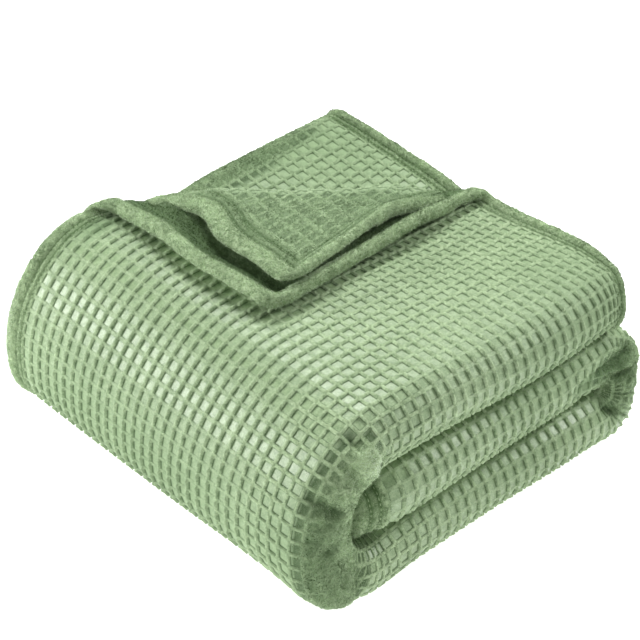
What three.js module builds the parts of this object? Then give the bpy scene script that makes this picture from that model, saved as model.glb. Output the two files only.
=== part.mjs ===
// A fleece throw blanket, folded to a thick pad, with the back corner of its two upper sheets turned over.
// The cloth is one rectangle. It is folded in half twice, to a strip of four sheets, and the strip is then
// rolled in three: along the top, round a big nose, along the bottom, round a small turn and back inside.
// Millimetres, +Z up. +X runs from the nose to the small turn, -Y is the side of the folded edges.

import * as THREE from "three";

// Driving dimensions
const CLOTH = 7; // thickness of the fleece with its pile
const SHEET_STEP = 16.4; // from one sheet of the strip to the next
const STRIP_GAP = 2; // between the strips that lie on each other
const NOSE_X = -191; // outermost line of the nose
const TURN_X = 210; // outermost line of the small turn
const FOLDED_Y = -189; // outermost line of the folded edges
const HEM_Y = 191; // hems of the two upper sheets, and the far bend of the two lower ones
const INNER_END_PAST_NOSE = 18; // how far the tucked end reaches past the nose's centre
const INNER_END_FLATNESS = 0.7; // height of the tucked end against the rest of the strip
const INNER_END_TAPER = 60; // length over which the tucked end gets flatter
const HEM_X = 199; // hem of the upper sheet at the strip's end, measured along the sheet
const END_LENGTH = 34; // stretch of the top strip that bends down at its hem end
const END_DROOP = Math.PI / 10; // how far that end bends down on the side of the folded edges
const END_DROOP_FADE = [-60, 90]; // Y range over which the bending down fades out towards the back
const GRID_STEPS = 18; // steps of the points around the turned corner, from the corner along both hems
const GRID_Y = 12.3; // their spacing across the strip

// Sizes that follow
const OUTER_LEVEL = 1.5 * SHEET_STEP;
const INNER_LEVEL = 0.5 * SHEET_STEP;
const HALF_STRIP = OUTER_LEVEL + CLOTH / 2;
const STRIP = 2 * HALF_STRIP + STRIP_GAP;
const BOTTOM_Z = HALF_STRIP;
const MIDDLE_Z = BOTTOM_Z + STRIP;
const TOP_Z = MIDDLE_Z + STRIP;
const NOSE_CENTRE_X = NOSE_X + HALF_STRIP + STRIP;
const TURN_CENTRE_X = TURN_X - HALF_STRIP - STRIP / 2;
const END_X = HEM_X - END_LENGTH * (1 + (OUTER_LEVEL * END_DROOP) / END_LENGTH);
const FOLDED_CENTRE_Y = FOLDED_Y + HALF_STRIP;
const BACK_CENTRE_Y = HEM_Y - INNER_LEVEL - CLOTH / 2;
const GRID_X = (HEM_X - NOSE_CENTRE_X) / GRID_STEPS;

// The strip's course seen from the side, from the hem end on top to the tucked end
const COURSE = [
  { part: "end", length: END_LENGTH },
  { part: "top", length: END_X - NOSE_CENTRE_X },
  { part: "nose", length: Math.PI * STRIP },
  { part: "bottom", length: TURN_CENTRE_X - NOSE_CENTRE_X },
  { part: "turn", length: (Math.PI * STRIP) / 2 },
  { part: "middle", length: TURN_CENTRE_X - NOSE_CENTRE_X + INNER_END_PAST_NOSE },
];

// The cloth's course across the strip, from the upper sheet's hem to the hem of the sheet below it
const ACROSS = [
  { part: "upper", length: HEM_Y - FOLDED_CENTRE_Y },
  { part: "outer bend", length: Math.PI * OUTER_LEVEL },
  { part: "lowest", length: BACK_CENTRE_Y - FOLDED_CENTRE_Y },
  { part: "back bend", length: Math.PI * INNER_LEVEL },
  { part: "lower", length: BACK_CENTRE_Y - FOLDED_CENTRE_Y },
  { part: "inner bend", length: Math.PI * INNER_LEVEL },
  { part: "second", length: HEM_Y - FOLDED_CENTRE_Y },
];

// The turned corners of the two upper sheets. steps: grid steps from the corner to the fold, along both hems.
// left, right: ends of the line where the fold starts, and tip: where the corner lands, all in plan.
// bow: how far the line bends in at its middle. press: how far the sheet is pressed down at the fold.
// lift: how far the tip lies above the fold's top.
const TURNED = {
  upper: {
    steps: 18, radius: 6, press: 6, lift: 3.5,
    left: [-101, 190], right: [188, -24], tip: [-88, -33], bow: 12,
  },
  second: {
    steps: 16, radius: 15.4, press: 0, lift: 3.5,
    left: [-68, 178], right: [180, -20], tip: [-58, -17], bow: 12,
  },
};
const PRESS_SHARE = 0.08; // share of the fold's length, from its left end, over which the press takes hold
const LIFT_SHARE = 0.35; // share of the turned corner, from its fold, over which it rises to its tip's height
const DRAG_LENGTH = [17, 150]; // how far in front of the fold's left and right end the sheets are dragged
const DRAG_SHARE = 0.8; // share of the fold's length, from its left end, over which that length grows

// The rise of the two lower sheets where the turned corner leaves them bare. start: the rise around the fold,
// within blend of it. corner: what is added towards the corner, over length. lowestShare: part of it that the
// lowest sheet takes
const UNCOVERED_RISE = { start: 9, blend: 60, corner: 24, length: 170, lowestShare: 0.4 };

// Soft unevenness: each row shifts the cloth around a place, fading out over the given reach
const PUSHES = [
  { at: [-95, 130, 172], reach: [90, 120, 60], shift: [0, 0, 10] },
  { at: [-60, -60, 172], reach: [110, 120, 60], shift: [0, 0, 3] },
  { at: [-180, 0, 40], reach: [50, 400, 34], shift: [-9, 0, 0] },
  { at: [-165, -40, 150], reach: [50, 200, 40], shift: [5, 0, -4] },
  { at: [-165, -185, 25], reach: [60, 70, 45], shift: [-5, -15, 0] },
  { at: [-60, -185, 88], reach: [70, 40, 34], shift: [0, -6, 3] },
  { at: [110, -185, 30], reach: [60, 40, 30], shift: [0, -4, 2] },
  { at: [60, -185, 145], reach: [80, 40, 34], shift: [0, -4, -3] },
  { at: [205, -185, 145], reach: [50, 45, 40], shift: [-20, 4, 0] },
  { at: [195, 105, 150], reach: [45, 85, 45], shift: [10, 0, 0] },
  { at: [90, 195, 150], reach: [105, 45, 45], shift: [0, 7, 2] },
  { at: [195, -90, 165], reach: [40, 60, 35], shift: [5, 0, 3] },
];
const FLOOR_FADE = 24; // height over which a push takes hold, so that the underside stays flat
const LEAST_CURL = 1e-5; // below this curl the hem end counts as straight
const SAME_PLACE = 1e-6; // two distances across the strip that differ by less are the same

function smooth(from, to, value) {
  return THREE.MathUtils.smoothstep(value, from, to);
}

// Finds the stretch of a course that holds a distance along it
function locate(course, distance) {
  let rest = distance;
  for (const stretch of course) {
    if (rest <= stretch.length || stretch === course[course.length - 1]) {
      return { part: stretch.part, rest };
    }
    rest -= stretch.length;
  }
}

function courseLength(course) {
  return course.reduce((sum, stretch) => sum + stretch.length, 0);
}

// The place across the strip: y, and the level above the strip's middle
function across(distance) {
  const { part, rest } = locate(ACROSS, distance);
  switch (part) {
    case "upper":
      return { part, y: HEM_Y - rest, level: OUTER_LEVEL };
    case "outer bend": {
      const angle = rest / OUTER_LEVEL;
      const level = OUTER_LEVEL * Math.cos(angle);
      return { part, y: FOLDED_CENTRE_Y - OUTER_LEVEL * Math.sin(angle), level };
    }
    case "lowest":
      return { part, y: FOLDED_CENTRE_Y + rest, level: -OUTER_LEVEL };
    case "back bend": {
      const angle = rest / INNER_LEVEL;
      const level = -SHEET_STEP - INNER_LEVEL * Math.cos(angle);
      return { part, y: BACK_CENTRE_Y + INNER_LEVEL * Math.sin(angle), level };
    }
    case "lower":
      return { part, y: BACK_CENTRE_Y - rest, level: -INNER_LEVEL };
    case "inner bend": {
      const angle = rest / INNER_LEVEL;
      const level = -INNER_LEVEL * Math.cos(angle);
      return { part, y: FOLDED_CENTRE_Y - INNER_LEVEL * Math.sin(angle), level };
    }
    default:
      return { part, y: FOLDED_CENTRE_Y + rest, level: INNER_LEVEL };
  }
}

// A point of an arc in the X-Z plane, at a level outside the arc's own line
function arcPoint(centreX, centreZ, radius, angle) {
  return { x: centreX + radius * Math.cos(angle), z: centreZ + radius * Math.sin(angle) };
}

// The top strip's hem end, which bends down less and less towards the back
function endPoint(distance, y, level) {
  const reach = END_LENGTH - distance;
  const curl = (END_DROOP * (1 - smooth(END_DROOP_FADE[0], END_DROOP_FADE[1], y))) / END_LENGTH;
  if (curl < LEAST_CURL) {
    return { x: END_X + reach, z: TOP_Z + level };
  }
  const angle = Math.PI / 2 - curl * reach;
  return arcPoint(END_X, TOP_Z - 1 / curl, 1 / curl + level, angle);
}

// The place along the strip, in the X-Z plane
function along(distance, y, level) {
  const { part, rest } = locate(COURSE, distance);
  switch (part) {
    case "end":
      return { part, rest, ...endPoint(rest, y, level) };
    case "top":
      return { part, rest, x: END_X - rest, z: TOP_Z + level };
    case "nose":
      return { part, rest, ...arcPoint(NOSE_CENTRE_X, MIDDLE_Z, STRIP + level, Math.PI / 2 + rest / STRIP) };
    case "bottom":
      return { part, rest, x: NOSE_CENTRE_X + rest, z: BOTTOM_Z - level };
    case "turn": {
      const radius = STRIP / 2;
      const centreZ = BOTTOM_Z + radius;
      return { part, rest, ...arcPoint(TURN_CENTRE_X, centreZ, radius + level, rest / radius - Math.PI / 2) };
    }
    default: {
      const length = COURSE[COURSE.length - 1].length;
      const taper = smooth(length - INNER_END_TAPER, length, rest);
      const flatness = THREE.MathUtils.lerp(1, INNER_END_FLATNESS, taper);
      return { part, rest, x: TURN_CENTRE_X - rest, z: MIDDLE_Z + level * flatness };
    }
  }
}

// A point's distance beyond the start of a turned corner's fold, and its place along that line
function foldPlace(turned, cornerX, sheetX, y) {
  const legX = turned.steps * GRID_X;
  const legY = turned.steps * GRID_Y;
  const shareX = (cornerX - sheetX) / legX;
  const shareY = (HEM_Y - y) / legY;
  const cornerBeyond = (legX * legY) / Math.hypot(legX, legY);
  const beyond = (1 - shareX - shareY) * cornerBeyond;
  return { legX, legY, beyond, cornerBeyond, share: (1 + shareY - shareX) / 2 };
}

// Turns a sheet's corner over its fold. place: the sheet's point before the fold
function turnOver(place, sheetX, y, cornerX, turned) {
  const { legX, legY, beyond, cornerBeyond, share } = foldPlace(turned, cornerX, sheetX, y);
  const drag = THREE.MathUtils.lerp(DRAG_LENGTH[0], DRAG_LENGTH[1], smooth(0, DRAG_SHARE, share));
  const hold = smooth(-drag, 0, beyond);
  if (hold === 0) {
    return place;
  }
  const left = new THREE.Vector2(...turned.left);
  const right = new THREE.Vector2(...turned.right);
  const line = right.clone().sub(left);
  const outward = new THREE.Vector2(-line.y, line.x).normalize();
  const onLine = left.clone().addScaledVector(line, share);
  onLine.addScaledVector(outward, -4 * turned.bow * share * (1 - share));
  const flatLineX = cornerX - legX * (1 - share);
  const flatLineY = HEM_Y - legY * share;
  const flatZ = TOP_Z + (turned === TURNED.upper ? OUTER_LEVEL : INNER_LEVEL);
  const foldZ = flatZ - turned.press * smooth(0, PRESS_SHARE, share);
  if (beyond <= 0) {
    const z = THREE.MathUtils.lerp(place.z, foldZ, hold);
    const x = THREE.MathUtils.lerp(place.x, sheetX, hold);
    return new THREE.Vector3(x + hold * (onLine.x - flatLineX), y + hold * (onLine.y - flatLineY), z);
  }
  const bend = Math.PI * turned.radius;
  if (beyond < bend) {
    const angle = beyond / turned.radius;
    const plan = onLine.addScaledVector(outward, turned.radius * Math.sin(angle));
    return new THREE.Vector3(plan.x, plan.y, foldZ + turned.radius * (1 - Math.cos(angle)));
  }
  const tip = new THREE.Vector2(...turned.tip);
  const inward = tip.sub(left.clone().add(right).multiplyScalar(0.5));
  const progress = (beyond - bend) / (cornerBeyond - bend);
  const plan = onLine.addScaledVector(inward, progress);
  const lift = turned.lift * smooth(0, LIFT_SHARE, progress);
  return new THREE.Vector3(plan.x, plan.y, foldZ + 2 * turned.radius + lift);
}

// How far the two lower sheets rise where the turned corner no longer covers them
function uncoveredRise(x, y, level) {
  const { beyond } = foldPlace(TURNED.second, HEM_X, x, y);
  const { start, blend, corner, length, lowestShare } = UNCOVERED_RISE;
  const rise = start * smooth(-blend, blend, beyond) + corner * smooth(0, length, beyond);
  const share = THREE.MathUtils.mapLinear(level, -OUTER_LEVEL, -INNER_LEVEL, lowestShare, 1);
  return rise * share;
}

function push(point) {
  const moved = point.clone();
  const hold = smooth(0, FLOOR_FADE, point.z - CLOTH);
  for (const { at, reach, shift } of PUSHES) {
    const away = point.clone().sub(new THREE.Vector3(...at)).divide(new THREE.Vector3(...reach));
    moved.addScaledVector(new THREE.Vector3(shift[0], shift[1], shift[2] * hold), Math.exp(-away.lengthSq()));
  }
  return moved;
}

// A point of the cloth's middle surface, from its distances along the strip and across it
function clothPoint(s, u) {
  const { part: sheet, y, level } = across(u);
  const course = along(s, y, level);
  let place = new THREE.Vector3(course.x, y, course.z);
  const onTop = course.part === "end" || course.part === "top";
  if (onTop && sheet in TURNED) {
    const growth = 1 + (level * END_DROOP) / END_LENGTH;
    const cornerX = END_X + END_LENGTH * growth;
    const sheetX = course.part === "end" ? END_X + (END_LENGTH - course.rest) * growth : course.x;
    place = turnOver(place, sheetX, y, cornerX, TURNED[sheet]);
  } else if (onTop && level < 0) {
    place.z += uncoveredRise(place.x, y, level);
  }
  return push(place);
}

// The side of the cloth that shows its waffle faces along this normal
function clothNormal(s, u) {
  const nudge = 0.05;
  const alongStrip = clothPoint(s + nudge, u).sub(clothPoint(s - nudge, u));
  const acrossStrip = clothPoint(s, u + nudge).sub(clothPoint(s, u - nudge));
  return alongStrip.cross(acrossStrip).normalize();
}

// Even steps over a length, without the last point
function steps(start, length, count) {
  return Array.from({ length: count }, (_, i) => start + (length * i) / count);
}

// Distances along the strip at which the cloth has a row of points, and whether the row is a fine one
function rowPlaces() {
  const counts = { nose: 10, bottom: 6, turn: 7, middle: 7 };
  const rows = [];
  const growth = 1 + (OUTER_LEVEL * END_DROOP) / END_LENGTH;
  let start = 0;
  for (const { part, length } of COURSE) {
    if (part === "top") {
      const count = Math.round(length / GRID_X);
      rows.push(...steps(start, length, count).map((s) => ({ s, fine: true })));
    } else if (part === "end") {
      const count = Math.round((length * growth) / GRID_X);
      rows.push(...steps(start, length, count).map((s) => ({ s, fine: true })));
    } else {
      rows.push(...steps(start, length, counts[part]).map((s) => ({ s, fine: false })));
    }
    start += length;
  }
  rows.push({ s: start, fine: false });
  return rows;
}

// Distances across the strip at which a row has its points
function columnPlaces(fine) {
  const fineLength = GRID_STEPS * GRID_Y;
  const bends = { "outer bend": 7, "back bend": 4, "inner bend": 4 };
  const sheets = fine ? { lowest: 4, lower: 6 } : { lowest: 3, lower: 3 };
  const counts = { ...bends, ...sheets };
  const columns = [];
  let start = 0;
  for (const { part, length } of ACROSS) {
    const hemCount = fine ? GRID_STEPS : 4;
    const restCount = 2;
    if (part === "upper") {
      columns.push(...steps(start, fineLength, hemCount));
      columns.push(...steps(start + fineLength, length - fineLength, restCount));
    } else if (part === "second") {
      columns.push(...steps(start, length - fineLength, restCount));
      columns.push(...steps(start + length - fineLength, fineLength, hemCount));
    } else {
      columns.push(...steps(start, length, counts[part]));
    }
    start += length;
  }
  columns.push(start);
  return columns;
}

// Joins two rows of points by triangles, also where one row has more points than the other
function joinRows(near, far, middle, addTriangle) {
  let i = 0;
  let j = 0;
  while (i < near.length - 1 || j < far.length - 1) {
    const nextNear = i < near.length - 1 ? near[i + 1].u : Infinity;
    const nextFar = j < far.length - 1 ? far[j + 1].u : Infinity;
    const even = Math.abs(nextNear - nextFar) < SAME_PLACE;
    const stepNear = even ? near[i].u < middle : nextNear < nextFar;
    if (stepNear) {
      addTriangle(near[i].index, far[j].index, near[i + 1].index);
      i += 1;
    } else {
      addTriangle(near[i].index, far[j].index, far[j + 1].index);
      j += 1;
    }
  }
}

// The closed solid: both faces of the cloth, half its thickness from the middle surface, and the rim
function clothGeometry() {
  const positions = [];
  const indices = [];
  const rows = rowPlaces().map(({ s, fine }) =>
    columnPlaces(fine).map((u) => {
      const index = positions.length / 6;
      const point = clothPoint(s, u);
      const normal = clothNormal(s, u);
      const face = point.clone().addScaledVector(normal, CLOTH / 2);
      const back = point.clone().addScaledVector(normal, -CLOTH / 2);
      positions.push(...face.toArray(), ...back.toArray());
      return { u, index };
    })
  );
  const faceOf = (index) => 2 * index;
  const backOf = (index) => 2 * index + 1;
  const addTriangle = (a, b, c) => {
    indices.push(faceOf(a), faceOf(b), faceOf(c));
    indices.push(backOf(a), backOf(c), backOf(b));
  };
  for (let i = 0; i < rows.length - 1; i += 1) {
    joinRows(rows[i], rows[i + 1], courseLength(ACROSS) / 2, addTriangle);
  }
  const rim = [
    ...rows[0].map(({ index }) => index).reverse(),
    ...rows.slice(1).map((row) => row[0].index),
    ...rows[rows.length - 1].slice(1).map(({ index }) => index),
    ...rows.slice(1, -1).map((row) => row[row.length - 1].index).reverse(),
  ];
  rim.forEach((here, i) => {
    const next = rim[(i + 1) % rim.length];
    indices.push(faceOf(here), backOf(here), faceOf(next));
    indices.push(faceOf(next), backOf(here), backOf(next));
  });
  const geometry = new THREE.BufferGeometry();
  geometry.setAttribute("position", new THREE.Float32BufferAttribute(positions, 3));
  geometry.setIndex(indices);
  geometry.computeVertexNormals();
  return geometry;
}

// Sets a geometry on the floor with its box's middle over the origin
function setDown(geometry) {
  geometry.computeBoundingBox();
  const { min, max } = geometry.boundingBox;
  return geometry.translate(-(min.x + max.x) / 2, -(min.y + max.y) / 2, -min.z);
}

const fleece = new THREE.MeshStandardMaterial({ color: 0x8fb078, roughness: 0.95, metalness: 0 });
const blanket = new THREE.Mesh(setDown(clothGeometry()), fleece);
blanket.name = "blanket";

const folded = new THREE.Group();
folded.add(blanket);

export default folded;
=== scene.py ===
import math

import bpy
import numpy as np
from mathutils import Matrix, Vector
from mathutils.bvhtree import BVHTree


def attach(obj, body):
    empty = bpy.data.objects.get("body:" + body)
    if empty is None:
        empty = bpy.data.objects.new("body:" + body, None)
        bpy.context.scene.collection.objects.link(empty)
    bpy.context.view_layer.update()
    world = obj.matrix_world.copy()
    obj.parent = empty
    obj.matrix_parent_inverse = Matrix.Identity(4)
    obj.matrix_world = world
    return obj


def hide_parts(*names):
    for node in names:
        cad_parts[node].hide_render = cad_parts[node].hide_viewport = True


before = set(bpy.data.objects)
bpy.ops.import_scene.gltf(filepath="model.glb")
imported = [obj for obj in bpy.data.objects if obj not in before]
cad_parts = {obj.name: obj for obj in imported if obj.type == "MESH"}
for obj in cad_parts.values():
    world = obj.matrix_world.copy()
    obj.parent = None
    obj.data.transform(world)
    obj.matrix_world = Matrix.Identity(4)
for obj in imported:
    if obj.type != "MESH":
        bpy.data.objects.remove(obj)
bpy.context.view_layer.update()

# A folded fleece throw with a waffle on its face, a plush back and rolled, stitched hems.
# +X runs from the big nose to the small turn, -Y is the side of the folded edges, +Z is up.
# The cloth is laid out in millimetres. Meshes, node trees and the studio are in metres.

PER_METRE = 1000

# Sizes of the folded cloth, as in the solid
CLOTH = 7.0
SHEET_STEP = 16.4
STRIP_GAP = 2.0
NOSE_X = -191.0
TURN_X = 210.0
FOLDED_Y = -189.0
HEM_Y = 191.0
INNER_END_PAST_NOSE = 18.0
HEM_X = 199.0
END_LENGTH = 34.0
FOLD_STEPS = 18
FOLD_STEP_Y = 12.3
# The shift that sets the folded cloth on the middle of the frame
CENTRING = np.array([-7.3002, 1.5959, 0.0])

# How far the top strip's hem end bends down, and the y range over which that fades out towards the back
END_DROOP = math.pi / 8
END_DROOP_FADE = (-120.0, 0.0)
# Below this curl the end counts as straight
LEAST_CURL = 1e-5

# How the tucked inner end closes to a rounded tip that turns into the roll
INNER_TIP_PAST = 8.0
INNER_TIP_LENGTH = 50.0
INNER_TIP_SHARE = 0.84
INNER_TIP_TURN = 14.0
INNER_TIP_SAG = 0.8

# Sizes that follow
OUTER_LEVEL = 1.5 * SHEET_STEP
INNER_LEVEL = 0.5 * SHEET_STEP
HALF_STRIP = OUTER_LEVEL + CLOTH / 2
STRIP = 2 * HALF_STRIP + STRIP_GAP
BOTTOM_Z = HALF_STRIP
MIDDLE_Z = BOTTOM_Z + STRIP
TOP_Z = MIDDLE_Z + STRIP
NOSE_CENTRE_X = NOSE_X + HALF_STRIP + STRIP
TURN_RADIUS = STRIP / 2
TURN_CENTRE_X = TURN_X - HALF_STRIP - TURN_RADIUS
END_GROWTH = END_DROOP / END_LENGTH
END_X = HEM_X - END_LENGTH * (1 + OUTER_LEVEL * END_GROWTH)
FOLDED_CENTRE_Y = FOLDED_Y + HALF_STRIP
BACK_CENTRE_Y = HEM_Y - INNER_LEVEL - CLOTH / 2
FOLD_STEP_X = (HEM_X - NOSE_CENTRE_X) / FOLD_STEPS
MIDDLE_LENGTH = TURN_CENTRE_X - NOSE_CENTRE_X + INNER_END_PAST_NOSE + INNER_TIP_PAST

# The strip's course from the side: stretch, its length, and how much longer the outer face is
COURSE = [
    ("end", END_LENGTH, 1 + HALF_STRIP * END_GROWTH),
    ("top", END_X - NOSE_CENTRE_X, 1.0),
    ("nose", math.pi * STRIP, 1 + HALF_STRIP / STRIP),
    ("bottom", TURN_CENTRE_X - NOSE_CENTRE_X, 1.0),
    ("turn", math.pi * TURN_RADIUS, 1 + HALF_STRIP / TURN_RADIUS),
    ("middle", MIDDLE_LENGTH, 1.0),
]
ORDER_ALONG = [name for name, _, _ in COURSE]
END, TOP, NOSE, TURN, MIDDLE = [ORDER_ALONG.index(name) for name in ("end", "top", "nose", "turn", "middle")]

# The cloth's course across the strip, with the same columns
BACK_BEND_GROWTH = 1.3
ACROSS = [
    ("upper", HEM_Y - FOLDED_CENTRE_Y, 1.0),
    ("outer bend", math.pi * OUTER_LEVEL, HALF_STRIP / OUTER_LEVEL),
    ("lowest", BACK_CENTRE_Y - FOLDED_CENTRE_Y, 1.0),
    ("back bend", math.pi * INNER_LEVEL, BACK_BEND_GROWTH),
    ("lower", BACK_CENTRE_Y - FOLDED_CENTRE_Y, 1.0),
    ("inner bend", math.pi * INNER_LEVEL, 1.0),
    ("second", HEM_Y - FOLDED_CENTRE_Y, 1.0),
]
ORDER_ACROSS = [name for name, _, _ in ACROSS]
UPPER, OUTER_BEND, SECOND = [ORDER_ACROSS.index(name) for name in ("upper", "outer bend", "second")]

# The turned corners of the two upper sheets. Their legs are counted in fold steps. The fold's line runs from
# left to right and bows towards the tip. Its radius is narrow at both ends: by which share, and over which
# share of the line. It is pressed down except at its left peak. The corner lifts, and its rim curls up
TURNED = {
    UPPER: dict(
        steps=18, radius=6.0, narrow=(0.55, 0.1), press=6.0, peak=-1.0, lift=3.5, curl=6.0, level=OUTER_LEVEL,
        left=(-107, 191), right=(188, -24), tip=(-88, -33), bow=12.0,
    ),
    SECOND: dict(
        steps=16, radius=15.4, narrow=(0.4, 0.3), press=0.0, peak=0.0, lift=8.5, curl=3.0, level=INNER_LEVEL,
        left=(-68, 178), right=(180, -20), tip=(-70, -30), bow=12.0,
    ),
}
# Shares of the line where the fold comes to be pressed down, and of the way to the tip where the corner lifts
PRESS_SHARES = (0.04, 0.2)
LIFT_SHARE = 0.35
# Distances from the rim, and the share of the way to the tip, over which the rim curls
CURL_BAND = (6.0, 26.0)
CURL_SHARE = 0.3
# How much of the sheet the fold drags along at its left end, and at most, from this share of the line on
DRAG_LENGTH = (17.0, 150.0)
DRAG_SHARE = 0.8
# Distances beyond the fold's start, and the share of its line, that count as a fold's end
FOLD_END_BAND = (-8.0, 36.0)
FOLD_END_SHARE = 0.09
# Distances beyond the fold's start over which the cloth comes to count as turned over
FLAP_BAND = (20.0, 60.0)
# How far the lower sheets rise where the turned corners leave them bare
UNCOVERED_RISE = dict(start=9.0, blend=60.0, corner=24.0, length=170.0, lowest_share=0.4)

# Soft unevenness of the whole stack: place, reach and shift
PUSHES = [
    ((-95, 130, 172), (90, 120, 60), (0, 0, 10)),
    ((-60, -60, 172), (110, 120, 60), (0, 0, 3)),
    ((-180, 0, 40), (50, 400, 34), (-9, 0, 0)),
    ((-165, -40, 150), (50, 200, 40), (5, 0, -4)),
    ((-165, -185, 25), (60, 70, 45), (-4, -9, 0)),
    ((-168, -196, 26), (26, 28, 26), (-3, -7, -5)),
    ((-180, -130, 15), (30, 60, 25), (5, 0, 0)),
    ((-135, -185, 62), (40, 40, 22), (0, 0, -10)),
    ((-60, -185, 88), (70, 40, 34), (0, -6, 3)),
    ((110, -185, 30), (60, 40, 30), (0, -4, 2)),
    ((60, -185, 145), (80, 40, 34), (0, -4, -3)),
    ((205, -185, 145), (50, 45, 40), (-24, 5, -2)),
    ((195, 105, 150), (45, 85, 45), (10, 0, 0)),
    ((90, 195, 150), (105, 45, 45), (0, 7, 2)),
    ((190, -90, 170), (60, 90, 40), (0, 0, -4)),
    ((20, 190, 165), (60, 60, 60), (0, 0, 6)),
    ((195, 35, 165), (45, 45, 60), (0, 0, 8)),
    ((205, -180, 30), (45, 60, 35), (0, -8, 0)),
    ((205, -185, 45), (35, 40, 25), (-12, 0, 0)),
    ((195, -188, 10), (35, 40, 16), (9, -4, 0)),
    ((205, -180, 75), (40, 50, 35), (0, -3, 6)),
    ((-130, -188, 142), (11, 14, 17), (-3, -9, 2)),
    ((-55, 52, 203), (50, 40, 24), (-15, 0, 0)),
]
# Height above the floor over which shifts up or down come in
FLOOR_FADE = 24.0
# Half the distance between two points that give the cloth's direction
NUDGE = 0.05

# The waffle. A cell's points lie on the shoulders and feet of its two ridges, as shares of the pitch,
# and its floor lies between the two feet
WAFFLE_PITCH = 11.5
SHOULDER = 0.07
FOOT = 0.185
CELL_SAMPLES = (0.0, FOOT - SHOULDER, 1 - FOOT - SHOULDER, 1 - 2 * SHOULDER)
FLOOR_SAMPLE = 1
# How far beside a bend its ridges are uneven, and how much
BEND_REACH = 70.0
RIDGE_LEAN = 0.7
WEAK_LEAN = 0.4

# Half the cloth's thickness, from its middle to its face and to its back
FACE_HALF = 3.0
BACK_HALF = 2.8

# The hems: distance from the rim and half the thickness there
HEM_PROFILE = [
    (0.0, 0.0), (1.0, 3.0), (3.0, 4.7), (6.0, 5.5), (9.4, 5.1), (12.2, 3.7),
    (14.0, 2.1), (16.0, 3.5), (18.2, 3.3), (20.0, 2.1), (22.0, 2.9),
]
HEM_BAND = 24.0
WAFFLE_START = (HEM_BAND - 2.5, HEM_BAND - 0.5)
CORNER_RADIUS = 22.0
# The seams: distance from the rim, width of their shade and of the line without pile, and how dark they are
SEAMS = (14.0, 20.0)
SEAM_WIDTH = 1.5
SEAM_BARE = 2.2
SEAM_NAP = 0.9

# Creases pressed into the outside: start, end, width and depth
CREASES = [
    ((-183, -171, 127), (-168, -187, 112), 6, 6),
    ((-188, -181, 103), (-168, -188, 113), 5, 4),
    ((-192, -178, 93), (-184, -186, 93), 5, 3),
    ((-143, -173, 160), (-126, -186, 138), 6, 6),
    ((-152, -183, 143), (-145, -186, 127), 5, 5),
    ((-118, -172, 100), (-119, -166, 62), 4, 4),
    ((-108, -176, 104), (-107, -172, 58), 4, 3),
    ((112, -186, 76), (170, -186, 26), 6, 9),
    ((106, -188, 85), (176, -184, 95), 6, 8),
    ((120, -184, 78), (188, -188, 70), 5, 7),
    ((-152, -190, 78), (-150, -196, 8), 7, 6),
    ((-170, -194, 48), (-150, -190, 60), 4, 5),
    ((-182, -187, 80), (-171, -189, 87), 4, 4),
    ((-194, -181, 61), (-191, -186, 47), 4, 3),
    ((125, -190, 63), (176, -191, 50), 4, 4),
    ((135, -190, 46), (174, -192, 34), 4, 4),
]
# Painted shade in the creases: how much each millimetre of a crease darkens the pile
CREASE_PAINTED_SHADE = 0.07

# Where the hem is squeezed thin inside a narrow fold: place, reach and strength
SQUEEZED = [
    ((-104, 188, 182), (24, 24, 30), 0.5),
    ((190, -22, 182), (26, 26, 30), 0.4),
]

# Painted shade, and painted light below zero, in the pile's colour: place, reach and strength
PAINTED_SHADE_AND_LIGHT = [
    ((-178, -190, 80), (27, 24, 60), 0.45),
    ((165, -186, 60), (36, 26, 30), 0.3),
    ((162, -186, 84), (26, 22, 13), 0.4),
    ((-130, -178, 85), (26, 28, 40), 0.15),
    ((-128, -195, 30), (26, 24, 30), -0.25),
    ((-140, -190, 148), (14, 16, 14), -0.7),
    ((40, 192, 162), (130, 28, 34), 0.5),
    ((-200, 0, 65), (40, 400, 45), 0.35),
    ((130, 120, 162), (100, 90, 28), 0.5),
    ((160, -140, 172), (50, 70, 30), 0.3),
    ((110, -190, 125), (100, 30, 60), 0.38),
    ((-112, 190, 180), (22, 16, 18), -0.35),
    ((-203, 190, 105), (24, 16, 55), -0.7),
    ((-118, 164, 180), (24, 15, 12), 0.8),
]
# Painted shade on the turned corner and on the plush back: how much darker they are, and where that comes in
# from the rim
FLAP_PAINTED_SHADE = 0.4
BACK_PAINTED_SHADE = 1.3
PAINTED_SHADE_BAND = (9.0, 20.0)

# Where the pile is crushed and the waffle fades: place, reach and strength
CRUSHED = [
    ((-176, -192, 80), (32, 23, 62), 1.3),
    ((-135, -190, 35), (34, 26, 34), 0.15),
    ((-160, -178, 130), (36, 36, 40), 0.3),
    ((-138, -185, 145), (18, 18, 18), 0.6),
    ((-125, -170, 88), (20, 30, 40), 0.7),
    ((168, -185, 60), (34, 28, 32), 0.35),
    ((162, -186, 84), (26, 22, 13), 0.7),
    ((40, 182, 165), (130, 18, 38), 0.9),
]
# How far the waffle has faded where fibres start, and where they are thickest
PILE_CRUSH = (0.25, 0.9)
# How crushed the turned corner and the small turn are
FLAP_CRUSH = 0.6
TURN_CRUSH = 0.2

# Inputs of the geometry trees
WAFFLE_SIZES = [
    ("Ridge", 0.0013), ("Floor", 0.0007), ("Crossing", 0.3), ("Shoulder", SHOULDER), ("Foot", FOOT),
    ("Pile Lumps", 0.0003), ("Plush Lumps", 0.003), ("Lumps Per Metre", 160.0), ("Drawn Until", 0.6),
]
LUMP_DETAIL = 2.0
NOISE_MIDDLE = 0.5
FIBRE_SIZES = [
    ("Per Square Metre", 1250000.0), ("Length", 0.0021), ("Width", 0.0004),
    ("Least Lean", 0.45), ("Most Lean", 1.25),
]
FIBRE_GROWTH = (0.6, 1.2)
FIBRE_SEED = 4
STITCH_SIZES = [("Spacing", 0.0044), ("Length", 0.0034), ("Width", 0.0011), ("Join", 0.0001)]
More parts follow.
